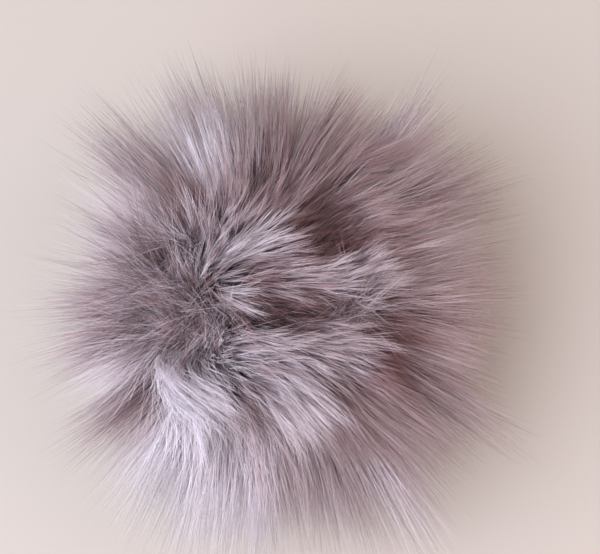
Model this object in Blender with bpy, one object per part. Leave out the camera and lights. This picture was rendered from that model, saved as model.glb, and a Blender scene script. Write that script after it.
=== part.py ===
"""A long-pile faux fur pom pom, lying on a table.

A round of fur fabric is gathered over a ball of stuffing, so that its pile stands out on every side. The pile falls
into tufts that lean away from a short-haired whorl on the crown, and a parting runs from the whorl across the top.
Underneath, the weight of the ball presses the pile into short blunt stubs and splays the rest over the table.

Units are metres, +Z is up and the origin is on the table, under the middle of the ball.
"""

import math
import random
from collections import namedtuple

import bmesh
import bpy
from mathutils import Matrix, Vector

MM = 0.001

# The stuffed ball of backing cloth that the pile grows from.
BALL_RADIUS = 28 * MM
BALL_HEIGHT = 45 * MM  # its centre, above the table
BALL_CENTRE = Vector((0, 0, BALL_HEIGHT))

# The backing is divided like a cube blown up to a ball, and one lock of pile grows from each cell.
CELLS_PER_SIDE = 7
CELL_JITTER = 0.16  # of a cell's width, so that the locks don't stand in rows
CELL_TURN = math.radians(17)  # turns the cells' rows away from the axes

# A lock's thickness along its length, as a share of the room that it has there.
LockRing = namedtuple("LockRing", "along share")
LOCK_RINGS = [
    LockRing(0.00, 0.74),
    LockRing(0.30, 0.82),
    LockRing(0.62, 0.66),
    LockRing(0.86, 0.32),
]
STUB_RINGS = [
    LockRing(0.00, 0.74),
    LockRing(0.50, 0.88),
    LockRing(1.00, 0.78),
]
LOCK_LENGTH_JITTER = 0.09
LOCK_HALF_WIDTH = 4.6 * MM  # at most, where the pile parts and leaves a lock more room
RISE = 0.42  # how far a hair keeps its first, upright direction, as a share of its length
RANDOM_SEED = 7

# Under the ball the pile is pressed into stubs, out to this angle from straight down, and they splay by this much.
STUB_ANGLE = math.radians(33)
STUB_SPLAY = 1.55

# The tufts that the pile falls into. azimuth and height say where a tuft is rooted on the ball, in degrees: azimuth
# turns from +X towards +Y, and height is the angle above the ball's equator. tip_x, tip_y and tip_z say where its
# longest hairs end, in millimetres from the ball's centre.
Tuft = namedtuple("Tuft", "name azimuth height tip_x tip_y tip_z")
TUFTS = [
    # The crown: a whorl, a hollow and a parting of short pile, and the crests that lean away from them.
    Tuft("whorl", 180, 44, -29, 1, 29),
    Tuft("hollow", 195, 33, -34, -10, 21),
    Tuft("parting_start", 214, 57, -15, -13, 33),
    Tuft("parting", 277, 75, 17, -9, 37),
    Tuft("crest_upper", 170, 63, 3, 6, 50),
    Tuft("crest_inner", 188, 58, -4, -10, 46),
    Tuft("crest_long", 225, 82, 29, 5, 40),
    Tuft("crest_middle", 274, 63, 20, -17, 43),
    Tuft("crest_blunt", 287, 53, 24, -23, 38),
    Tuft("crest_low", 224, 44, -3, -26, 44),
    Tuft("crest_left", 215, 27, -17, -37, 30),
    Tuft("crest_front", 277, 42, 14, -42, 32),
    Tuft("crest_notch", 252, 32, 0, -47, 25),
    Tuft("crown_top", 145, 57, -13, 24, 40),
    Tuft("crown_back", 95, 66, 8, 30, 37),
    Tuft("crevice", 52, 68, 18, 15, 34),
    Tuft("crown_right", 22, 58, 34, 20, 29),
    Tuft("ridge", 137, 40, -29, 32, 27),
    # The shoulder, between the crown and the rim.
    Tuft("shoulder_upper_left", 152, 34, -43, 24, 20),
    Tuft("shoulder_left", 166, 26, -50, 15, 14),
    Tuft("shoulder_top_left", 118, 26, -27, 53, 13),
    Tuft("shoulder_top", 98, 42, -4, 44, 28),
    Tuft("shoulder_top_right", 76, 32, 19, 54, 20),
    Tuft("shoulder_right_top", 44, 38, 42, 38, 18),
    Tuft("shoulder_right", 8, 38, 55, 12, 10),
    Tuft("shoulder_lower_right", 334, 38, 53, -21, 8),
    Tuft("shoulder_bottom_right", 308, 36, 40, -41, 15),
    # The rim, which is the outline from above.
    Tuft("rim_left", 178, 4, -61, 0, -1),
    Tuft("rim_upper_left", 156, 2, -56, 26, 0),
    Tuft("rim_top_left", 134, 4, -48, 49, 1),
    Tuft("rim_top", 96, 2, -4, 65, -1),
    Tuft("tuft_top", 62, 16, 34, 63, 16),
    Tuft("rim_top_right", 50, 4, 42, 50, 2),
    Tuft("tuft_right_top", 32, 6, 57, 38, 0),
    Tuft("rim_right", 6, 2, 60, 4, -3),
    Tuft("rim_lower_right", 342, -2, 60, -22, -7),
    Tuft("tuft_right_low", 326, -6, 61, -35, -10),
    Tuft("rim_bottom_right", 316, 4, 49, -44, -5),
    Tuft("tuft_bottom_right", 300, 8, 38, -62, 2),
    Tuft("rim_bottom", 286, -8, 18, -58, -12),
    Tuft("notch_bottom", 274, 2, 2, -48, -9),
    Tuft("tuft_bottom", 260, 8, -6, -62, 4),
    Tuft("tuft_bottom_left", 245, 10, -24, -66, 3),
    Tuft("rim_bottom_left", 230, -6, -37, -46, -9),
    Tuft("rim_lower_left", 214, -8, -52, -32, -11),
    Tuft("tuft_left", 199, 2, -66, -21, -4),
]
BLEND_POWER = 5  # a higher power makes the partings between tufts sharper
TUFT_HEART = 0.02  # radians around a tuft's root in which the pile follows that tuft alone
GATHER = 0.35  # how far the tips in a tuft are drawn together, from 0 to 1

# The skirt, a row of tufts low on the ball that end level on the table.
SKIRT_TUFTS = 13
SKIRT_HEIGHT = -34  # of its roots, in degrees from the equator
SKIRT_REACH = 47 * MM  # of its tips, from the middle of the ball in plan
TABLE_GAP = 1.2 * MM  # from the table up to its tips

FUR_COLOUR = (0.52, 0.46, 0.50)
FUR_ROUGHNESS = 0.9


def direction(azimuth, height):
    """The unit vector at this azimuth and height, in degrees."""
    turn, lift = math.radians(azimuth), math.radians(height)
    return Vector((math.cos(lift) * math.cos(turn), math.cos(lift) * math.sin(turn), math.sin(lift)))


def middle_of(points):
    """The mean of these points."""
    return sum(points, Vector((0, 0, 0))) / len(points)


def tuft_fields():
    """Each tuft's root direction, its tip, the direction in which it leans, and its length."""
    ends = [
        (direction(tuft.azimuth, tuft.height), Vector((tuft.tip_x, tuft.tip_y, tuft.tip_z)) * MM)
        for tuft in TUFTS
    ]
    for count in range(SKIRT_TUFTS):
        azimuth = 360 * count / SKIRT_TUFTS
        tip = direction(azimuth, 0) * SKIRT_REACH
        tip.z = TABLE_GAP - BALL_HEIGHT
        ends.append((direction(azimuth, SKIRT_HEIGHT), tip))
    fields = []
    for root, tip in ends:
        reach = tip - root * BALL_RADIUS
        fields.append((root, tip, reach.normalized(), reach.length))
    return fields


def pile_reach(root, fields, stretch):
    """From the backing at this root direction to the tip of the pile, blended from the tufts around it."""
    tip, lean, length, total = Vector((0, 0, 0)), Vector((0, 0, 0)), 0.0, 0.0
    for tuft_root, tuft_tip, tuft_lean, tuft_length in fields:
        weight = 1 / (root.angle(tuft_root, 0) + TUFT_HEART) ** BLEND_POWER
        tip += tuft_tip * weight
        lean += tuft_lean * weight
        length += tuft_length * weight
        total += weight
    start = root * BALL_RADIUS
    spread_tip = start + lean.normalized() * (length / total)
    end = start.lerp(spread_tip.lerp(tip / total, GATHER), stretch)
    end.z = max(end.z, TABLE_GAP - BALL_HEIGHT)
    return end - start


def stub_reach(root):
    """From the backing at this root direction to the end of a pressed stub, level on the table."""
    start = BALL_CENTRE + root * BALL_RADIUS
    end = Vector((start.x * STUB_SPLAY, start.y * STUB_SPLAY, 0))
    return end - start


def hair_point(root, reach, along):
    """A point on a hair that leaves the backing upright and then leans over to its tip."""
    start = BALL_CENTRE + root * BALL_RADIUS
    bend = start + root * (RISE * reach.length)
    return start * (1 - along) ** 2 + bend * (2 * along * (1 - along)) + (start + reach) * along**2


def backing_ball():
    """The backing as a bmesh ball of four-sided cells, with its cells a little uneven."""
    ball = bmesh.new()
    bmesh.ops.create_cube(ball, size=2)
    bmesh.ops.subdivide_edges(ball, edges=ball.edges[:], cuts=CELLS_PER_SIDE - 1, use_grid_fill=True)
    cell_width = math.pi / 2 / CELLS_PER_SIDE
    for corner in ball.verts:
        even = Vector([math.tan(side * math.pi / 4) for side in corner.co]).normalized()
        even.rotate(Matrix.Rotation(CELL_TURN, 3, "Z"))
        shift = Vector([random.uniform(-1, 1) for _ in range(3)]) * CELL_JITTER * cell_width
        corner.co = BALL_CENTRE + (even + shift).normalized() * BALL_RADIUS
    ball.normal_update()
    return ball


def draw_out(ball, cell, rings, roots, reaches):
    """Draws a cell of the backing out through these rings, and returns the face that it ends in."""
    for ring in rings:
        if ring is rings[0]:
            bmesh.ops.inset_individual(ball, faces=[cell], thickness=MM)
        else:
            cell = bmesh.ops.extrude_discrete_faces(ball, faces=[cell])["faces"][0]
        places = [hair_point(root, reach, ring.along) for root, reach in zip(roots, reaches)]
        centre = middle_of(places)
        for corner, place in zip(cell.verts, places):
            offset = (place - centre) * ring.share
            corner.co = centre + offset * min(1, LOCK_HALF_WIDTH / offset.length)
    return cell


def grow_lock(ball, cell, roots, fields):
    """Makes a cell a free lock, which ends in a point."""
    stretch = 1 + random.uniform(-1, 1) * LOCK_LENGTH_JITTER
    reaches = [pile_reach(root, fields, stretch) for root in roots]
    end = draw_out(ball, cell, LOCK_RINGS, roots, reaches)
    tip = bmesh.ops.poke(ball, faces=[end])["verts"][0]
    tip.co = middle_of([hair_point(root, reach, 1) for root, reach in zip(roots, reaches)])


def grow_stub(ball, cell, roots):
    """Makes a cell a stub pressed short by the ball's weight, which ends flat on the table."""
    draw_out(ball, cell, STUB_RINGS, roots, [stub_reach(root) for root in roots])


def material(name, colour, roughness):
    """A Principled material."""
    made = bpy.data.materials.new(name)
    made.use_nodes = True
    shader = made.node_tree.nodes["Principled BSDF"]
    shader.inputs["Base Color"].default_value = (*colour, 1)
    shader.inputs["Roughness"].default_value = roughness
    return made


def add_object(name, shape, finish):
    """Makes the bmesh an object of that name."""
    mesh = bpy.data.meshes.new(name)
    shape.to_mesh(mesh)
    shape.free()
    mesh.materials.append(finish)
    made = bpy.data.objects.new(name, mesh)
    bpy.context.scene.collection.objects.link(made)
    return made


def make_fur():
    """The ball with its locks and stubs, all one piece of fur."""
    ball = backing_ball()
    fields = tuft_fields()
    for cell in list(ball.faces):
        roots = [(corner.co - BALL_CENTRE).normalized() for corner in cell.verts]
        if middle_of(roots).angle(Vector((0, 0, -1))) < STUB_ANGLE:
            grow_stub(ball, cell, roots)
        else:
            grow_lock(ball, cell, roots, fields)
    return add_object("fur", ball, material("lavender_fur", FUR_COLOUR, FUR_ROUGHNESS))


def main():
    for old in list(bpy.data.objects):
        bpy.data.objects.remove(old, do_unlink=True)
    random.seed(RANDOM_SEED)
    make_fur()


main()
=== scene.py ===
"""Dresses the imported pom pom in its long-pile faux fur.

The fur grows from a stuffed ball of knitted backing: a short dense undercoat, the pile itself in bands
from the crown down to the skirt, the stubs pressed flat under the ball, stray guard hairs, a fine haze
round the rim and the fine hairs tangled over the nest. Geometry Nodes plant straight strands on the
ball, and a comb then lays each strand along the tufts that the pile falls into.
"""

import math
from collections import namedtuple

import bmesh
import bpy
import numpy as np
from bpy.props import FloatProperty, FloatVectorProperty, IntProperty, PointerProperty
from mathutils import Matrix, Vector, noise
from mathutils.kdtree import KDTree


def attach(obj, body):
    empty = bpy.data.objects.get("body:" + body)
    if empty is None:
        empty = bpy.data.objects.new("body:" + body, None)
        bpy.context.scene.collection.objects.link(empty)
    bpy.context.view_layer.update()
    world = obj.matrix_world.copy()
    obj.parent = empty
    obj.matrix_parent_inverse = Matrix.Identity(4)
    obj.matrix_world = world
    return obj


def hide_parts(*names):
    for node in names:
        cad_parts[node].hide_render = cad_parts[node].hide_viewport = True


bl_info = {
    "name": "Faux fur pom pom",
    "version": (1, 0, 0),
    "blender": (4, 5, 0),
    "location": "View3D > Sidebar > Pom Pom",
    "description": "Grows and combs the fur of a long-pile pom pom around its packed solid",
    "category": "Add Mesh",
}

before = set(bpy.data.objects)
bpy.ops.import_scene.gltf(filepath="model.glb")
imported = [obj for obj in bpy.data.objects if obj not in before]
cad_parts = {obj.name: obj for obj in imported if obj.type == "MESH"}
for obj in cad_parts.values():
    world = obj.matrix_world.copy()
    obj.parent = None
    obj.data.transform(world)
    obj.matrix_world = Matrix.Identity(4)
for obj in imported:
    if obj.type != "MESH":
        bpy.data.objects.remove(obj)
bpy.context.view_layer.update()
MM = 0.001
BAKE_MAP = "OFBake"  # u is a hair's tone and v runs from its root to its tip
SIDES = 3  # of a strand's section


def linear(code):
    """An sRGB hex colour as linear red, green, blue and alpha."""
    parts = [int(code[start : start + 2], 16) / 255 for start in (1, 3, 5)]
    return [part / 12.92 if part <= 0.04045 else ((part + 0.055) / 1.055) ** 2.4 for part in parts] + [1.0]


def colour(name, code, description):
    """A colour property with this default."""
    return FloatVectorProperty(
        name=name, description=description, subtype="COLOR", size=4, min=0, max=1, default=linear(code)
    )


def length(name, size, description):
    """A length property with this default in metres."""
    return FloatProperty(
        name=name, description=description, unit="LENGTH", subtype="DISTANCE", min=0, default=size
    )


def number(name, value, description):
    """A plain number property with this default."""
    return FloatProperty(name=name, description=description, default=value)


# ---- what a user would change ----


class BackingSettings(bpy.types.PropertyGroup):
    """The stuffed ball of knitted backing that the pile grows from."""

    radius: length("Radius", 28 * MM, "Radius of the stuffed ball")
    rise: length("Centre height", 45 * MM, "Height of the ball's centre above the table")
    wale: length("Wale spacing", 0.9 * MM, "From one column of knitted stitches to the next")
    knit: colour("Knit", "#4b3a40", "Colour of the knitted backing")


class PileSettings(bpy.types.PropertyGroup):
    """How the pile falls and gathers."""

    blend_power: number("Parting", 6, "How sharply the pile parts between tufts")
    fan: number("Fan", 0.6, "How far a tuft's hairs fan out with the ball")
    gather: number("Gather", 0.1, "How far a tuft's tips are drawn together")
    upright: number("Upright", 0.15, "How long a hair stays upright, of its length")
    wisps: IntProperty(name="Wisps", description="Small wisps over the whole ball", default=12000)
    wisp_vary: number("Wisp variation", 0.14, "How much a wisp's length varies")
    wisp_stray: length("Wisp stray", 2.5 * MM, "How far a wisp's tip wanders")
    locks: IntProperty(name="Locks", description="Larger locks over the whole ball", default=1500)
    lock_gather: number("Lock gather", 0.55, "How far wisps are drawn into locks")
    lock_stray: length("Lock stray", 2.5 * MM, "How far a lock's tip wanders")
    bloom: number("Bloom", 0.6, "How far down the palest hairs are pale")
    # Painted shade: dulls the tips of the darkest hairs, deepening the shade of the crevices and the nest.
    dull_tip_and_shade: number("Dull", 0.22, "How far the darkest hairs lack a pale tip")
    # Painted shade: darkens matted hairs far up their length, for the nest's hollow.
    matted_shade: number("Matting", 0.35, "How far up matted hairs stay dark")
    hook: length("Hook", 9.0 * MM, "How far the tip of a matted wisp turns aside")
    lift: length("Lift", 6.0 * MM, "How far the tip of a matted wisp turns up")
    floor_gap: length("Table gap", 0.25 * MM, "From the table to the lowest hair")


class FibreSettings(bpy.types.PropertyGroup):
    """The dyed fibre: each hair lies between the brown fibre and the pale one."""

    brown_root: colour("Brown root", "#271619", "Brown fibre at its root")
    brown_middle: colour("Brown middle", "#623d3f", "Brown fibre at its middle")
    brown_upper: colour("Brown upper", "#906463", "Brown fibre under its tip")
    brown_tip: colour("Brown tip", "#ccb2b1", "Brown fibre at its tip")
    pale_root: colour("Pale root", "#3a292d", "Pale fibre at its root")
    pale_middle: colour("Pale middle", "#957777", "Pale fibre at its middle")
    pale_upper: colour("Pale upper", "#c8bcc2", "Pale fibre under its tip")
    pale_tip: colour("Pale tip", "#e2dde6", "Pale fibre at its tip")
    shine: FloatProperty(name="Shine", description="Weight of the silky sheen", min=0, max=1, default=0.2)


class StageSettings(bpy.types.PropertyGroup):
    """The table, the light and the camera."""

    table: colour("Table", "#b0aaa2", "Colour of the table top")
    air: colour("Air", "#e0d6d3", "Colour of the light from all around")
    air_strength: number("Air strength", 1.0, "Strength of the light from all around")
    window: colour("Window", "#eaedfc", "Colour of the window light")
    window_power: number("Window power", 16, "Power of the window light")
    bounce: colour("Bounce", "#ffcfc6", "Colour of the light thrown back from the right")
    bounce_power: number("Bounce power", 1.8, "Power of the light from the right")
    focal_length: number("Focal length", 70, "Of the camera, in millimetres")
    distance: length("Distance", 0.311, "From the camera to the middle of the fur")
    tilt: FloatProperty(
        name="Tilt", description="Camera angle above the table", subtype="ANGLE", default=math.radians(75)
    )


class PomPomSettings(bpy.types.PropertyGroup):
    """All the settings of the pom pom."""

    backing: PointerProperty(type=BackingSettings)
    pile: PointerProperty(type=PileSettings)
    fibre: PointerProperty(type=FibreSettings)
    stage: PointerProperty(type=StageSettings)


# ---- the tufts and the coats ----

# The tufts that the pile falls into. tip_x, tip_y and tip_z say where a tuft's longest hairs end, in
# millimetres from the ball's centre. It is rooted on the ball under the point that lies lean millimetres
# behind its tip, seen from above; heading is the way it leans, in degrees from the right. tone is how pale
# its hairs are, from 0, brown, to 1; a tone past either end leaves fewer hairs between. The low tones of the
# nest, the fold, the parting, the crevices, the furrows and the hollow are painted shade that darkens these
# recesses, and the paler tone at the parting's end is a painted highlight. mess is how matted they lie, from
# 0 to 1. sweep says how far its hairs swing out to the left of their heading on their way, in millimetres, or
# to the right below 0.
Tuft = namedtuple("Tuft", "name tip_x tip_y tip_z lean heading tone mess sweep", defaults=[0])
TUFTS = [
    # The crown: a nest of matted short pile, a fan and the crests that lean away from it, and a parting
    # between them.
    Tuft("nest_wisp", -23, 0, 29, 4, 180, 0.7, 0.8),
    # Painted shade: the nest's low tones below darken its hollow.
    Tuft("nest", -30, 2, 25, 8, 176, -0.2, 1.0, 8),
    Tuft("nest_left", -37, -2, 21, 14, 183, -0.1, 1.0, -8),
    Tuft("nest_low", -32, -11, 23, 12, 199, -0.25, 1.0, 8),
    Tuft("nest_low_left", -40, -14, 18, 18, 200, -0.15, 1.0, -6),
    Tuft("nest_dark", -19, -12, 23, 2, 200, -0.25, 1.0),
    Tuft("nest_front", -26, -14, 25, 10, 215, -0.15, 1.0, -6),
    Tuft("nest_upper", -33, 9, 25, 11, 165, -0.25, 1.0, -8),
    Tuft("nest_upper_left", -43, 11, 17, 19, 166, -0.05, 1.0, 8),
    Tuft("fan_left", -23, 10, 37, 2, 180, 0.15, 0.6),
    Tuft("fan_up", -18, 15, 40, 4, 94, 0.5, 0.2),
    Tuft("fan_middle", -9, 12, 43, 6, 38, 0.5, 0.15),
    Tuft("fan_inner", -14, 2, 43, 5, -4, 0.5, 0.2),
    Tuft("crest_upper_back", -7, 3, 47, 8, 2, 0.75, 0.1),
    Tuft("crest_upper", 0, 4, 49, 11, -2, 0.85, 0.05),
    # Painted shade: the fold's low tone darkens it.
    Tuft("crest_fold", -1, -2, 46, 11, -16, 0.2, 0.1),
    Tuft("crest_start", -14, -6, 43, 7, -48, 0.4, 0.2),
    Tuft("crest_inner", -5, -11, 46, 14, -36, 0.75, 0.1),
    Tuft("crest_long", 9, -5, 47, 13, -21, 0.5, 0.1),
    Tuft("crest_tail_middle", 19, -3, 44, 12, -10, 0.8, 0.1),
    Tuft("crest_tail", 28, 4, 39, 12, 10, 0.9, 0.1),
    # Painted shade: the parting's low tones darken it, and the paler parting_end is a painted highlight.
    Tuft("parting", 0, -12, 30, 7, -30, 0.05, 0.2),
    Tuft("parting_middle", 11, -11, 30, 7, -27, 0.05, 0.2),
    Tuft("parting_end", 20, -9, 31, 7, -23, 0.25, 0.7),
    Tuft("crest_low_left", -8, -20, 42, 8, -41, 0.75, 0.1),
    Tuft("crest_low", 3, -21, 44, 12, -30, 0.85, 0.15),
    Tuft("crest_middle", 18, -18, 43, 13, -22, 0.7, 0.1),
    Tuft("crest_blunt", 21, -23, 40, 13, -35, 0.55, 0.05),
    Tuft("furrow_middle", 0, -25, 40, 12, -42, 0.75, 0.15),
    # Painted shade: the crevice's tone below 0 darkens it.
    Tuft("crevice_right", 29, -20, 20, 11, -38, -0.2, 0.1),
    Tuft("crest_front", 11, -37, 36, 20, -54, 0.9, 0.05),
    # Painted shade: the furrow's low tone darkens it.
    Tuft("furrow", 25, -32, 31, 17, -48, 0.25, 0.1),
    Tuft("crossing", -5, -39, 32, 18, -65, 0.45, 0.4),
    Tuft("crest_left", -14, -39, 34, 24, -73, 1.2, 0.1, -15),
    Tuft("crest_left_inner", -10, -37, 36, 21, -66, 1.2, 0.1, -8),
    Tuft("crest_left_start", -19, -31, 34, 17, -80, 1.2, 0.1, -14),
    Tuft("crest_left_end", -31, -28, 28, 19, -105, 1.15, 0.2, -10),
    Tuft("crest_fan", -19, -51, 26, 30, -94, 1.0, 0.05, -6),
    # Painted shade: the low furrow's low tone darkens it.
    Tuft("furrow_low", 19, -44, 22, 26, -60, 0.25, 0.1),
    # Painted shade: these crevices' tones below 0 darken them.
    Tuft("crevice", 9, 9, 30, 7, 30, -0.2, 0.1),
    Tuft("crevice_low", 17, 5, 31, 7, 20, -0.2, 0.1),
    Tuft("crown_right", 25, 18, 29, 12, -5, 0.5, 0.1),
    Tuft("crown_right_low", 27, 3, 30, 10, -5, 0.2, 0.1),
    Tuft("crown_back", 1, 22, 34, 10, 48, 0.25, 0.1),
    Tuft("crown_back_right", 29, 29, 24, 20, 13, 0.35, 0.1, 5),
    Tuft("crown_top", -15, 26, 33, 9, 100, 0.4, 0.15),
    Tuft("ridge", -25, 21, 32, 12, 120, 0.8, 0.15),
    Tuft("ridge_left", -38, 19, 24, 14, 150, 0.75, 0.2),
    Tuft("ridge_curl", -24, 47, 20, 28, 110, 0.85, 0.1),
    # The shoulder, between the crown and the rim.
    Tuft("shoulder_left", -50, 13, 10, 23, 165, 0.5, 0.5),
    Tuft("shoulder_lower_left", -49, -14, 8, 22, 190, 0.5, 0.5),
    Tuft("shoulder_top_left", -33, 52, 16, 32, 122, 0.5, 0.1),
    # Painted shade: the hollow's low tone darkens it.
    Tuft("shoulder_hollow", -32, 33, 16, 23, 130, 0.05, 0.1),
    Tuft("shoulder_top", -5, 52, 22, 31, 92, 0.4, 0.2),
    Tuft("shoulder_back", 14, 42, 20, 23, 55, 0.4, 0.1),
    Tuft("shoulder_top_right", 19, 54, 20, 36, 68, 0.4, 0.1, 8),
    Tuft("shoulder_right_top", 42, 38, 18, 34, 25, 0.25, 0.1, 10),
    Tuft("shoulder_right", 52, 12, 12, 30, 16, 0.65, 0.1),
    Tuft("shoulder_lower_right", 51, -21, 10, 29, -20, 0.5, 0.1),
    Tuft("shoulder_bottom_right", 40, -42, 14, 33, -39, 0.4, 0.1),
    # The rim, which is the outline from above.
    Tuft("rim_left", -65, 0, 0, 33, 180, 0.35, 0.4),
    Tuft("rim_upper_left", -63, 27, 2, 38, 157, 0.4, 0.4),
    Tuft("rim_top_left", -57, 52, 3, 46, 138, 0.4, 0.3),
    Tuft("rim_top_left_high", -36, 66, 3, 44, 118, 0.5, 0.3),
    Tuft("rim_top", -6, 66, 1, 40, 93, 0.45, 0.3),
    Tuft("tuft_top", 34, 63, 16, 45, 61, 0.85, 0.3, -8),
    Tuft("rim_top_right", 42, 50, 2, 37, 50, 0.45, 0.3, 8),
    Tuft("tuft_right_top", 57, 38, 0, 41, 35, 0.45, 0.3, 8),
    Tuft("rim_right", 60, 3, -3, 32, 2, 0.45, 0.3),
    Tuft("rim_lower_right", 52, -22, -6, 28, -24, 0.45, 0.3),
    Tuft("tuft_right_low", 64, -36, -8, 46, -30, 0.5, 0.3),
    Tuft("rim_bottom_right", 44, -42, -4, 33, -42, 0.45, 0.3),
    Tuft("tuft_bottom_right", 38, -64, 2, 46, -59, 0.75, 0.3),
    Tuft("rim_bottom", 18, -64, -6, 38, -74, 0.5, 0.3),
    Tuft("notch_bottom", 4, -58, -6, 30, -84, 0.4, 0.3),
    Tuft("tuft_bottom", -6, -66, 4, 38, -92, 0.8, 0.3),
    Tuft("tuft_bottom_left", -25, -67, 4, 44, -100, 0.8, 0.3),
    Tuft("rim_bottom_left", -42, -54, -4, 40, -127, 1.0, 0.3),
    Tuft("rim_lower_left", -57, -37, -6, 40, -146, 0.15, 0.3),
    Tuft("tuft_left", -67, -22, -2, 43, -162, 0.1, 0.3),
]
TUFT_HEART = 0.02  # radians around a tuft's root in which the pile follows that tuft alone

# The skirt, a row of tufts low on the ball that end level on the table, and the stubs pressed flat inside it.
SKIRT_TUFTS = 13
SKIRT_HEIGHT = -34  # degrees
SKIRT_REACH = 47 * MM
SKIRT_LOOK = (0.6, 0.1)  # tone and mess
STUB_HEIGHT = -57  # degrees, below which the pile is pressed into stubs
STUB_SPLAY = 1.55  # how far out a stub's tip lies, in its root's distance from the ball's axis

# One coat of hair on a band of the ball, between two heights in degrees. strands is how many hairs it has
# and segments the stretches that each is made of. length is a hair's mean share of the pile's length and
# vary how much that varies, width its thickness in millimetres, gather how far hairs are drawn into wisps,
# stray how far their tips wander in millimetres, shade what is taken off their tone, frost how far down from
# the tip their colour has faded, and mess the least mess of the pile that the coat grows in. The undercoat's
# shade is painted shade, which darkens it where it shows in the gaps deep in the pile; a shade below 0 gives
# a paler fibre.
Coat = namedtuple(
    "Coat",
    "name low high strands segments length vary width gather stray shade frost seed mess",
    defaults=[0.0],
)
PILE = [
    Coat("pile_top", 58, 90, 6500, 3, 0.80, 0.36, 0.22, 0.80, 0.6, 0.0, 0.0, 11),
    Coat("pile_crown", 38, 58, 9900, 3, 0.80, 0.36, 0.22, 0.80, 0.6, 0.0, 0.0, 18),
    Coat("pile_shoulder", 22, 38, 8500, 3, 0.82, 0.34, 0.24, 0.55, 0.8, 0.0, 0.35, 12),
    Coat("pile_flank", 8, 22, 7000, 3, 0.82, 0.36, 0.24, 0.35, 1.4, 0.0, 0.5, 20),
    Coat("pile_rim", -22, 8, 19400, 2, 0.84, 0.46, 0.20, 0.20, 2.8, 0.0, 0.62, 13),
    Coat("pile_skirt", -57, -22, 6000, 2, 0.88, 0.20, 0.26, 0.40, 1.0, 0.0, 0.3, 14),
]
STUBS = Coat("pile_stubs", -90, -57, 1800, 2, 0.85, 0.15, 0.50, 0.50, 0.5, 0.2, 0.0, 15)
# Its shade of 0.4 is painted shade for the gaps deep in the pile.
UNDERCOAT = Coat("undercoat", -57, 90, 8000, 2, 0.44, 0.14, 0.45, 0.30, 1.0, 0.4, 0.0, 16)
GUARD_HAIRS = Coat("guard_hairs", -30, 90, 2400, 4, 0.96, 0.14, 0.12, 0.25, 2.5, -0.2, 0.6, 17)
HAZE = Coat("haze", -22, 30, 9800, 1, 0.82, 0.32, 0.16, 0.0, 4.0, -0.1, 0.8, 21)
TANGLE = Coat("tangle", 8, 60, 2200, 3, 0.95, 0.30, 0.17, 0.0, 5.0, -0.75, 0.0, 19, 0.6)

# What the fall and the comb work with.
WISP_SEED = 5
WISP_TONE_VARY = 0.16  # from one wisp to the next, in tone
WISP_SHARE_VARY = 0.5  # and in length, in how much its coat's hairs vary
NOISE_LIMIT = 1.6  # times its size, the farthest that any noise reaches
ROOT_LIMIT = 0.99  # of the ball's radius, the farthest out that a tuft is rooted
WISP_STRAY_MATTED = 2  # times more that the wisps of a matted tuft wander
HAIR_SHARE_VARY = 0.5  # from one hair to the next in length, in how much its coat's hairs vary
MATTED_SHORTER = 0.12  # of the pile's length, by which matted hairs are shorter
SHARES = (0.1, 1.03)  # of the pile's length, the shortest and the longest hair
STRAY_MATTED = 2  # times more that matted hairs wander
STRAY_HAIRS = 0.15  # of the hairs wander much farther than the rest
STRAY_TIMES = 4  # as far as the rest
STRAY_LIMIT = 5 * MM  # of how far a hair may wander
BOW = 0.15  # how far a hair bows, of how far its tip may wander
HOOK_STRAY = 0.6  # how much of a hair's own wandering goes into its hook
TURN_POWER = 2  # how late along itself a hair turns aside
TURN_MATTED = 3  # and how much later a matted one does
PULL_POWER = 1.2  # how late along itself a hair is pulled into its wisp
STEP = 0.02  # of a hair, over which its direction is measured
ASKEW = (0.01, 0.02, 0.03)  # gives a hair a side to face even where it leaves the ball upright
THINNEST = 0.75  # of its coat's width, the thinnest hair
WIDTH_VARY = 0.5  # of its coat's width, from the thinnest hair to the thickest
TAPER_POWER = 2.2  # how late a hair thins towards its tip
TONE_VARY = 0.13  # from one hair to the next
UNEVEN_LEAST = 0.1  # how uneven the tones are in a smooth coat that isn't gathered
UNEVEN_MATTED = 0.8  # and how much more so in a matted one
PALES = (0.03, 0.97)  # the darkest and the palest hair
CHART_WIDTH = 0.012  # of a hair on the bake map
BLOOM_POWER = 4  # how far the bloom keeps to the palest hairs
CHART_ENDS = (0.005, 0.995)  # the lowest and the highest place on the bake map


# ---- the fall of the pile ----


def directions(azimuth, height):
    """Unit vectors at these azimuths and heights, in degrees."""
    turn, lift = np.broadcast_arrays(np.radians(azimuth), np.radians(height))
    return np.stack([np.cos(lift) * np.cos(turn), np.cos(lift) * np.sin(turn), np.sin(lift)], -1)


def unit(vectors):
    """The same vectors with a length of one."""
    return vectors / np.maximum(np.linalg.norm(vectors, axis=-1, keepdims=True), 1e-9)


def spiral(count, draw):
    """Directions spread evenly over the ball, then shaken a little."""
    turn = np.arange(count) * math.pi * (3 - math.sqrt(5))
    rise = 1 - (2 * np.arange(count) + 1) / count
    flat = np.sqrt(1 - rise**2)
    even = np.stack([flat * np.cos(turn), flat * np.sin(turn), rise], -1)
    return unit(even + draw.normal(0, 1 / math.sqrt(count), even.shape))


def noisy(draw, size, *shape):
    """Normal noise of this size, held within its limit."""
    return np.clip(draw.normal(0, 1, shape), -NOISE_LIMIT, NOISE_LIMIT) * size


def nearest(points, targets):
    """For each point, the number of the nearest target."""
    tree = KDTree(len(targets))
    for number, target in enumerate(targets):
        tree.insert(target, number)
    tree.balance()
    return np.array([tree.find(point)[1] for point in points])


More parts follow.
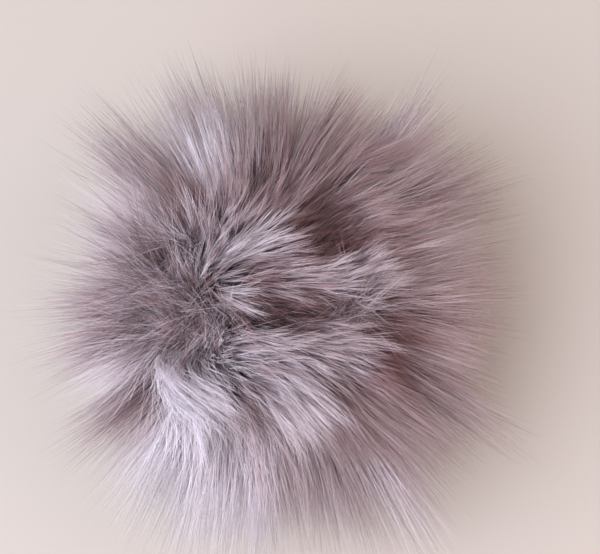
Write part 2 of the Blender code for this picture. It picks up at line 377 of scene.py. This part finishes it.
class Fall:
    """How the pile falls from each place on the ball. Its vectors are measured from the ball's centre."""

    def __init__(self, backing, pile):
        self.radius, self.rise, self.pile = backing.radius, backing.rise, pile
        skirt = directions(np.arange(SKIRT_TUFTS) * 360 / SKIRT_TUFTS, SKIRT_HEIGHT)
        skirt_tips = unit(skirt * (1, 1, 0)) * SKIRT_REACH + (0, 0, pile.floor_gap - self.rise)
        tips = np.array([(tuft.tip_x, tuft.tip_y, tuft.tip_z) for tuft in TUFTS]) * MM
        headings = np.array([tuft.heading for tuft in TUFTS])
        lean = directions(headings, 0) * [[tuft.lean * MM] for tuft in TUFTS]
        sweep = directions(headings + 90, 0) * [[tuft.sweep * MM] for tuft in TUFTS]
        flat = ((tips - lean) * (1, 1, 0)) / self.radius
        flat /= np.maximum(np.linalg.norm(flat, axis=1, keepdims=True) / ROOT_LIMIT, 1)
        roots = flat + np.sqrt(1 - (flat**2).sum(1, keepdims=True)) * (0, 0, 1)
        self.tuft_roots, self.tuft_tips = np.vstack([roots, skirt]), np.vstack([tips, skirt_tips])
        self.sweeps = np.vstack([sweep, np.zeros(skirt.shape)])
        self.looks = np.array([(tuft.tone, tuft.mess) for tuft in TUFTS] + [SKIRT_LOOK] * SKIRT_TUFTS)
        self.gather_wisps()

    def at(self, roots):
        """From these root directions, the pile's reach to its tips, its tone, its mess and its sweep."""
        angles = np.arccos(np.clip(roots @ self.tuft_roots.T, -1, 1))
        weights = (angles + TUFT_HEART) ** -self.pile.blend_power
        weights /= weights.sum(1, keepdims=True)
        reaches = self.tuft_tips - self.tuft_roots * self.radius
        lengths = np.linalg.norm(reaches, axis=1, keepdims=True)
        starts = roots * self.radius
        fanned = np.einsum("st,stc->sc", weights, self.turned(roots, reaches / lengths))
        lean = weights @ (reaches / lengths)
        spread_tips = starts + unit(lean + self.pile.fan * (fanned - lean)) * (weights @ lengths)
        ends = spread_tips + self.pile.gather * (weights @ self.tuft_tips - spread_tips)
        pressed = roots[:, 2] < math.sin(math.radians(STUB_HEIGHT))
        ends[pressed, :2] = starts[pressed, :2] * STUB_SPLAY
        ends[pressed, 2] = -self.rise
        ends[:, 2] = np.maximum(ends[:, 2], self.pile.floor_gap - self.rise)
        tone, mess = (weights @ self.looks).T
        return ends - starts, tone, mess, weights @ self.sweeps

    def turned(self, roots, reaches):
        """Each tuft's reach, turned with the ball's surface from the tuft's root to each of these roots."""
        between = roots[:, None] + self.tuft_roots
        along = np.einsum("stc,tc->st", between, reaches)[..., None]
        outward = (self.tuft_roots * reaches).sum(1)[:, None]
        apart = np.maximum(1 + roots @ self.tuft_roots.T, 1e-3)[..., None]
        return reaches - between * along / apart + 2 * outward * roots[:, None]

    def gather_wisps(self):
        """Spreads small wisps over the ball and draws them into larger locks."""
        draw = np.random.default_rng(WISP_SEED)
        pile = self.pile
        locks, wisps = spiral(pile.locks, draw), spiral(pile.wisps, draw)
        lock_reach, _, mess, _ = self.at(locks)
        lock_reach = lock_reach * (1 + noisy(draw, pile.wisp_vary, pile.locks, 1))
        lock_reach += noisy(draw, pile.lock_stray, pile.locks, 3) * (1 + mess[:, None])
        reach, _, mess, self.wisp_sweep = self.at(wisps)
        reach = reach * (1 + noisy(draw, pile.wisp_vary, pile.wisps, 1))
        reach += noisy(draw, pile.wisp_stray, pile.wisps, 3) * (1 + WISP_STRAY_MATTED * mess[:, None])
        lock = nearest(wisps, locks)
        to_lock = (locks[lock] - wisps) * self.radius + lock_reach[lock] - reach
        self.wisps, self.wisp_reach = wisps, reach + to_lock * pile.lock_gather
        self.wisp_tone, self.wisp_share = draw.normal(0, (WISP_TONE_VARY, WISP_SHARE_VARY), (pile.wisps, 2)).T
        self.wisp_hook = noisy(draw, pile.hook, pile.wisps, 3) + (0, 0, pile.lift)

    def curve(self, roots, reach, sweep, along):
        """Points along hairs that leave the ball upright, swing out to one side and then lean over."""
        starts = roots * self.radius
        bend = starts + roots * self.pile.upright * np.linalg.norm(reach, axis=-1, keepdims=True) + sweep
        starts, bend, ends = starts[:, None], bend[:, None], (starts + reach)[:, None]
        along = along[..., None]
        return starts * (1 - along) ** 2 + bend * 2 * along * (1 - along) + ends * along**2


def comb(mesh, coat, fall):
    """Lays a coat's planted strands along the fall of the pile, and gives each its place on the bake map."""
    draw = np.random.default_rng(coat.seed)
    centre = (0, 0, fall.rise)
    planted, base = np.empty((2, len(mesh.vertices) * 3), np.float32)
    mesh.vertices.foreach_get("co", planted)
    mesh.attributes["root"].data.foreach_get("vector", base)
    base = base.reshape(-1, SIDES * coat.segments + 1, 3).astype(float)
    local = planted.reshape(base.shape) - base
    strands = len(local)
    roots = unit(base[:, 0] - centre)
    ring, up = local[..., :2], np.clip(local[..., 2], 0, 1)
    ring = ring / np.maximum(np.linalg.norm(ring, axis=-1, keepdims=True), 1e-6)

    reach, tone, mess, sweep = fall.at(roots)
    wisp = nearest(roots, fall.wisps)
    spread = coat.gather * fall.wisp_share[wisp] + HAIR_SHARE_VARY * (1 - 2 * draw.random(strands) ** 2)
    share = coat.length - MATTED_SHORTER * mess + coat.vary * (1 + mess) * spread
    share = np.clip(share, *SHARES)[:, None]
    far = np.where(draw.random(strands) < STRAY_HAIRS, STRAY_TIMES, 1)
    loose = coat.stray * MM * (1 + STRAY_MATTED * mess) * far
    loose = np.minimum(loose, STRAY_LIMIT)
    stray = noisy(draw, loose[:, None, None], strands, 1, 3)
    bow = noisy(draw, loose[:, None, None] * BOW, strands, 1, 3)
    hook = fall.wisp_hook[wisp][:, None] * mess[:, None, None] + stray * HOOK_STRAY
    turn = TURN_POWER + TURN_MATTED * mess[:, None, None]

    def centre_line(part):
        along = part * share
        own = fall.curve(roots, reach, sweep, along)
        led = fall.curve(fall.wisps[wisp], fall.wisp_reach[wisp], fall.wisp_sweep[wisp], along)
        pull = (coat.gather * np.clip(along, 0, 1) ** PULL_POWER)[..., None]
        aside = hook * np.maximum(along, 0)[..., None] ** turn + bow * np.sin(math.pi * part)[..., None]
        return own + (led - own) * pull + aside

    middle = centre_line(up)
    tangent = unit(centre_line(up + STEP) - centre_line(up - STEP))
    side = unit(np.cross(tangent, roots[:, None] + ASKEW))
    other = np.cross(tangent, side)
    half = coat.width * MM / 2 * (THINNEST + WIDTH_VARY * draw.random((strands, 1)))
    girth = (half * (1 - up**TAPER_POWER))[..., None]
    points = middle + (side * ring[..., :1] + other * ring[..., 1:]) * girth + centre
    points[..., 2] = np.maximum(points[..., 2], fall.pile.floor_gap / 2)
    mesh.vertices.foreach_set("co", points.reshape(-1).astype(np.float32))

    contrast = UNEVEN_LEAST + coat.gather + UNEVEN_MATTED * mess
    uneven = (fall.wisp_tone[wisp] + draw.normal(0, TONE_VARY, strands)) * contrast
    pale = np.clip(tone - coat.shade + uneven, *PALES)
    across = pale[:, None] + CHART_WIDTH * (ring[..., 0] + 0.5 * ring[..., 1])
    bloom = fall.pile.bloom * pale**BLOOM_POWER
    # Matted hairs keep painted shade far up their length, which darkens the nest's hollow.
    frost = (coat.frost * (1 - mess) - fall.pile.matted_shade * mess + bloom)[:, None]
    # The darkest hairs lose their pale tips, which deepens the painted shade of the crevices and the nest.
    dull_tip_and_shade = (fall.pile.dull_tip_and_shade * np.maximum(1 - 2 * pale, 0))[:, None]
    along = np.clip(frost + up * (1 - frost - dull_tip_and_shade), *CHART_ENDS)
    corner = np.empty(len(mesh.loops), np.int32)
    mesh.loops.foreach_get("vertex_index", corner)
    chart = np.stack([across.reshape(-1)[corner], along.reshape(-1)[corner]], -1)
    layer = mesh.uv_layers.new(name=BAKE_MAP)
    layer.uv.foreach_set("vector", chart.reshape(-1).astype(np.float32))
    mesh.attributes.remove(mesh.attributes["root"])
    mesh.update()


# ---- planting ----


def add(tree, kind, inputs=(), **settings):
    """Adds a node of this kind with its settings, and sets or links its inputs, by order or by name."""
    made = tree.nodes.new(kind)
    for name, value in settings.items():
        setattr(made, name, value)
    live = [socket for socket in made.inputs if socket.enabled]
    for key, value in inputs.items() if isinstance(inputs, dict) else enumerate(inputs):
        socket = live[key] if isinstance(key, int) else next(one for one in live if one.name == key)
        if isinstance(value, bpy.types.Node):
            value = next(one for one in value.outputs if one.enabled)
        if isinstance(value, bpy.types.NodeSocket):
            tree.links.new(value, socket)
        else:
            socket.default_value = value
    return made


def planting_tree():
    """The Geometry Nodes tree that plants straight strands on a patch of the backing."""
    tree = bpy.data.node_groups.get("plant_strands")
    if tree:
        return tree
    tree = bpy.data.node_groups.new("plant_strands", "GeometryNodeTree")
    for name, kind in [
        ("Patch", "Geometry"),
        ("Strands per square metre", "Float"),
        ("Segments", "Int"),
        ("Seed", "Int"),
        ("Fur", "Material"),
    ]:
        tree.interface.new_socket(name, in_out="INPUT", socket_type="NodeSocket" + kind)
    tree.interface.new_socket("Strands", in_out="OUTPUT", socket_type="NodeSocketGeometry")
    given = tree.nodes.new("NodeGroupInput").outputs
    points = add(
        tree,
        "GeometryNodeDistributePointsOnFaces",
        {"Mesh": given["Patch"], "Density": given["Strands per square metre"], "Seed": given["Seed"]},
    )
    rooted = add(
        tree,
        "GeometryNodeStoreNamedAttribute",
        {"Geometry": points, "Name": "root", "Value": add(tree, "GeometryNodeInputPosition")},
        data_type="FLOAT_VECTOR",
    )
    cone = {"Vertices": SIDES, "Side Segments": given["Segments"]}
    cone |= {"Radius Top": 0.0, "Radius Bottom": 1.0, "Depth": 1.0}
    strand = add(tree, "GeometryNodeMeshCone", cone)
    planted = add(tree, "GeometryNodeInstanceOnPoints", {"Points": rooted, "Instance": strand})
    smooth = add(tree, "GeometryNodeSetShadeSmooth", [add(tree, "GeometryNodeRealizeInstances", [planted])])
    dressed = add(tree, "GeometryNodeSetMaterial", {"Geometry": smooth, "Material": given["Fur"]})
    add(tree, "NodeGroupOutput", [dressed])
    return tree


def ball_patch(backing, keep=lambda middle: True):
    """The faces of the backing ball whose middle's direction is to be kept, as a mesh."""
    patch = bmesh.new()
    bmesh.ops.create_icosphere(patch, subdivisions=5, radius=backing.radius)
    outside = [face for face in patch.faces if not keep(face.calc_center_median().normalized())]
    bmesh.ops.delete(patch, geom=outside, context="FACES")
    bmesh.ops.translate(patch, verts=patch.verts[:], vec=(0, 0, backing.rise))
    mesh = bpy.data.meshes.new("patch")
    patch.to_mesh(mesh)
    patch.free()
    return mesh


def dress(name, mesh):
    """Adds a finished piece of the fur, which rides on the part and stands for its solid."""
    piece = bpy.data.objects.new(name, mesh)
    mesh.name = name
    bpy.context.scene.collection.objects.link(piece)
    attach(piece, "root")
    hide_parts("fur")
    return piece


def plant(patch, coat, fur):
    """Plants a coat's strands on a patch with Geometry Nodes, and returns them as a plain mesh."""
    tree = planting_tree()
    bed = bpy.data.objects.new("bed", patch)
    bpy.context.scene.collection.objects.link(bed)
    planter = bed.modifiers.new("plant", "NODES")
    planter.node_group = tree
    sockets = {item.name: item.identifier for item in tree.interface.items_tree if item.in_out == "INPUT"}
    planter[sockets["Strands per square metre"]] = coat.strands / sum(face.area for face in patch.polygons)
    planter[sockets["Segments"]] = coat.segments
    planter[sockets["Seed"]] = coat.seed
    planter[sockets["Fur"]] = fur
    ready = bed.evaluated_get(bpy.context.evaluated_depsgraph_get())
    mesh = bpy.data.meshes.new_from_object(ready)
    bpy.data.objects.remove(bed, do_unlink=True)
    return mesh


def grow(settings, coat, fur):
    """Plants and combs one coat."""
    fall = Fall(settings.backing, settings.pile)
    low, high = math.sin(math.radians(coat.low)), math.sin(math.radians(coat.high)) + 1e-6

    def keep(middle):
        if not low <= middle.z < high:
            return False
        return coat.mess == 0 or fall.at(np.array([middle]))[2][0] >= coat.mess

    mesh = plant(ball_patch(settings.backing, keep), coat, fur)
    comb(mesh, coat, fall)
    return dress(coat.name, mesh)


# ---- finishes ----

BROWN_STOPS = (0.35, 0.65, 0.85, 1.0)  # of root, middle, upper and tip, from a hair's root to its tip
PALE_STOPS = (0.15, 0.48, 0.74, 0.95)
WAVE_PERIOD = 0.314  # metres between the bands of a wave texture of scale 1
MOTTLES_PER_WALE = 0.25  # so that each mottle of the dye spreads over about four wales
KNIT_SHADE = "#33262b"  # of the mottling
PAPER_TOOTH = 900  # grains to the metre, about one a millimetre


def fur_fibre(fibre):
    """Modacrylic fur fibre, dyed dark at the root and frosted at the tip: a silky shine, no hard glints."""
    made = bpy.data.materials.get("modacrylic_fur")
    if made:
        return made
    made = bpy.data.materials.new("modacrylic_fur")
    made.use_nodes = True
    tree = made.node_tree
    shader = tree.nodes["Principled BSDF"]
    chart = add(tree, "ShaderNodeSeparateXYZ", [add(tree, "ShaderNodeUVMap", uv_map=BAKE_MAP)])
    ramps = []
    for places, shades in [
        (BROWN_STOPS, (fibre.brown_root, fibre.brown_middle, fibre.brown_upper, fibre.brown_tip)),
        (PALE_STOPS, (fibre.pale_root, fibre.pale_middle, fibre.pale_upper, fibre.pale_tip)),
    ]:
        ramp = add(tree, "ShaderNodeValToRGB", [chart.outputs["Y"]])
        for _ in places[2:]:
            ramp.color_ramp.elements.new(0.5)
        for element, place, shade in zip(ramp.color_ramp.elements, places, shades):
            element.position = place
            element.color = shade
        ramps.append(ramp)
    blend = add(tree, "ShaderNodeMix", [chart.outputs["X"], *ramps], data_type="RGBA")
    tree.links.new(next(one for one in blend.outputs if one.enabled), shader.inputs["Base Color"])
    shader.inputs["Roughness"].default_value = 0.55
    shader.inputs["Specular IOR Level"].default_value = 0.35
    shader.inputs["Sheen Weight"].default_value = fibre.shine
    shader.inputs["Sheen Roughness"].default_value = 0.5
    return made


def knitted_backing(backing):
    """Warp-knitted polyester backing: fine columns of stitches, matt and dark, seen only in the partings."""
    made = bpy.data.materials.new("knitted_polyester")
    made.use_nodes = True
    tree = made.node_tree
    shader = tree.nodes["Principled BSDF"]
    place = add(tree, "ShaderNodeTexCoord").outputs["Object"]
    stitches = {"Vector": place, "Scale": WAVE_PERIOD / backing.wale, "Distortion": 1.5}
    columns = add(tree, "ShaderNodeTexWave", stitches)
    mottle = add(tree, "ShaderNodeTexNoise", {"Vector": place, "Scale": MOTTLES_PER_WALE / backing.wale})
    tint = add(tree, "ShaderNodeMix", [mottle, backing.knit, linear(KNIT_SHADE)], data_type="RGBA")
    tree.links.new(next(one for one in tint.outputs if one.enabled), shader.inputs["Base Color"])
    raised = {"Strength": 0.6, "Distance": 0.2 * MM, "Height": columns.outputs["Fac"]}
    bump = add(tree, "ShaderNodeBump", raised)
    tree.links.new(bump.outputs["Normal"], shader.inputs["Normal"])
    shader.inputs["Roughness"].default_value = 0.9
    return made


def matt_paper(shade):
    """Uncoated cream paper: an even matt surface with a faint tooth."""
    made = bpy.data.materials.new("uncoated_paper")
    made.use_nodes = True
    tree = made.node_tree
    shader = tree.nodes["Principled BSDF"]
    place = add(tree, "ShaderNodeTexCoord").outputs["Object"]
    tooth = add(tree, "ShaderNodeTexNoise", {"Vector": place, "Scale": PAPER_TOOTH})
    bump = add(tree, "ShaderNodeBump", {"Strength": 0.1, "Distance": 0.1 * MM, "Height": tooth})
    tree.links.new(bump.outputs["Normal"], shader.inputs["Normal"])
    shader.inputs["Base Color"].default_value = shade
    shader.inputs["Roughness"].default_value = 0.85
    return made


# ---- operators ----

BACKING_SINK = 0.4  # millimetres by which the backing lies below the roots of the hairs, at its highest
BACKING_LUMP = 0.8  # millimetres that the stuffing's lumps may add to that
LUMP_SCALE = 5  # lumps in the ball's radius
TABLE_REACH = 2  # metres from the middle of the table to its edges
VIEW_CENTRE = (4 * MM, 7 * MM)  # where the camera looks, beside the ball's centre
LAMPS = [  # name, place in metres and size in metres
    ("window", (-0.48, -0.30, 0.80), 0.9),
    ("bounce", (0.60, -0.10, 0.45), 0.6),
]


class POMPOM_OT_backing(bpy.types.Operator):
    """Make the stuffed ball of knitted backing"""

    bl_idname = "pompom.backing"
    bl_label = "Backing"

    def execute(self, context):
        settings = context.scene.pom_pom
        mesh = ball_patch(settings.backing)
        for point in mesh.vertices:
            outward = Vector((point.co.x, point.co.y, point.co.z - settings.backing.rise)).normalized()
            lump = BACKING_LUMP * abs(noise.noise(outward * LUMP_SCALE))
            point.co -= outward * (BACKING_SINK + lump) * MM
        mesh.shade_smooth()
        mesh.materials.append(knitted_backing(settings.backing))
        piece = dress("fur_backing", mesh)
        return {"FINISHED"}


class POMPOM_OT_undercoat(bpy.types.Operator):
    """Grow the short dense undercoat and the stubs pressed flat under the ball"""

    bl_idname = "pompom.undercoat"
    bl_label = "Undercoat and stubs"

    def execute(self, context):
        settings = context.scene.pom_pom
        fur = fur_fibre(settings.fibre)
        grow(settings, UNDERCOAT, fur)
        grow(settings, STUBS, fur)
        return {"FINISHED"}


class POMPOM_OT_pile(bpy.types.Operator):
    """Grow the pile in bands from the crown to the skirt"""

    bl_idname = "pompom.pile"
    bl_label = "Pile"

    def execute(self, context):
        settings = context.scene.pom_pom
        fur = fur_fibre(settings.fibre)
        for coat in PILE:
            grow(settings, coat, fur)
        return {"FINISHED"}


class POMPOM_OT_guard_hairs(bpy.types.Operator):
    """Grow the guard hairs, the fine haze round the rim and the hairs tangled over the nest"""

    bl_idname = "pompom.guard_hairs"
    bl_label = "Guard hairs"

    def execute(self, context):
        settings = context.scene.pom_pom
        fur = fur_fibre(settings.fibre)
        grow(settings, GUARD_HAIRS, fur)
        grow(settings, HAZE, fur)
        grow(settings, TANGLE, fur)
        return {"FINISHED"}


class POMPOM_OT_stage(bpy.types.Operator):
    """Set the pale table, the soft light and the camera"""

    bl_idname = "pompom.stage"
    bl_label = "Stage"

    def execute(self, context):
        scene = context.scene
        stage, rise = scene.pom_pom.stage, scene.pom_pom.backing.rise
        mesh = bpy.data.meshes.new("table_top")
        edge = TABLE_REACH
        corners = [(-edge, -edge, 0), (edge, -edge, 0), (edge, edge, 0), (-edge, edge, 0)]
        mesh.from_pydata(corners, [], [(0, 1, 2, 3)])
        mesh.materials.append(matt_paper(stage.table))
        table = bpy.data.objects.new("table_top", mesh)
        scene.collection.objects.link(table)

        scene.world = bpy.data.worlds.new("room")
        scene.world.use_nodes = True
        air = scene.world.node_tree.nodes["Background"].inputs
        air["Color"].default_value = stage.air
        air["Strength"].default_value = stage.air_strength

        shades = [(stage.window_power, stage.window), (stage.bounce_power, stage.bounce)]
        for (name, place, size), (power, shade) in zip(LAMPS, shades):
            lamp = bpy.data.lights.new(name, "AREA")
            lamp.size = size
            lamp.energy = power
            lamp.color = shade[:3]
            light = bpy.data.objects.new(name, lamp)
            light.location = place
            light.rotation_euler = (Vector((0, 0, rise)) - light.location).to_track_quat("-Z", "Y").to_euler()
            scene.collection.objects.link(light)

        lens = bpy.data.cameras.new("camera")
        lens.lens = stage.focal_length
        lens.clip_start = 10 * MM
        camera = bpy.data.objects.new("camera", lens)
        target = Vector((*VIEW_CENTRE, rise))
        camera.location = target + stage.distance * Vector((0, -math.cos(stage.tilt), math.sin(stage.tilt)))
        camera.rotation_euler = (target - camera.location).to_track_quat("-Z", "Y").to_euler()
        scene.collection.objects.link(camera)
        scene.camera = camera
        scene.view_settings.view_transform = "Standard"
        return {"FINISHED"}


class POMPOM_PT_panel(bpy.types.Panel):
    """The pom pom's steps and settings"""

    bl_idname = "POMPOM_PT_panel"
    bl_label = "Pom Pom"
    bl_space_type = "VIEW_3D"
    bl_region_type = "UI"
    bl_category = "Pom Pom"

    def draw(self, context):
        for operator in OPERATORS:
            self.layout.operator(operator.bl_idname)
        settings = context.scene.pom_pom
        for group in (settings.backing, settings.pile, settings.fibre, settings.stage):
            box = self.layout.box()
            for name in group.__annotations__:
                box.prop(group, name)


GROUPS = (BackingSettings, PileSettings, FibreSettings, StageSettings, PomPomSettings)
OPERATORS = (
    POMPOM_OT_backing,
    POMPOM_OT_undercoat,
    POMPOM_OT_pile,
    POMPOM_OT_guard_hairs,
    POMPOM_OT_stage,
)
CLASSES = (*GROUPS, *OPERATORS, POMPOM_PT_panel)


def register():
    """Adds the classes and the scene's settings."""
    for one in CLASSES:
        bpy.utils.register_class(one)
    bpy.types.Scene.pom_pom = PointerProperty(type=PomPomSettings)


def unregister():
    """Takes them away again."""
    del bpy.types.Scene.pom_pom
    for one in reversed(CLASSES):
        bpy.utils.unregister_class(one)


def main():
    """Makes every piece and the stage."""
    register()
    bpy.ops.pompom.backing()
    bpy.ops.pompom.undercoat()
    bpy.ops.pompom.pile()
    bpy.ops.pompom.guard_hairs()
    bpy.ops.pompom.stage()


if __name__ == "__main__":
    main()
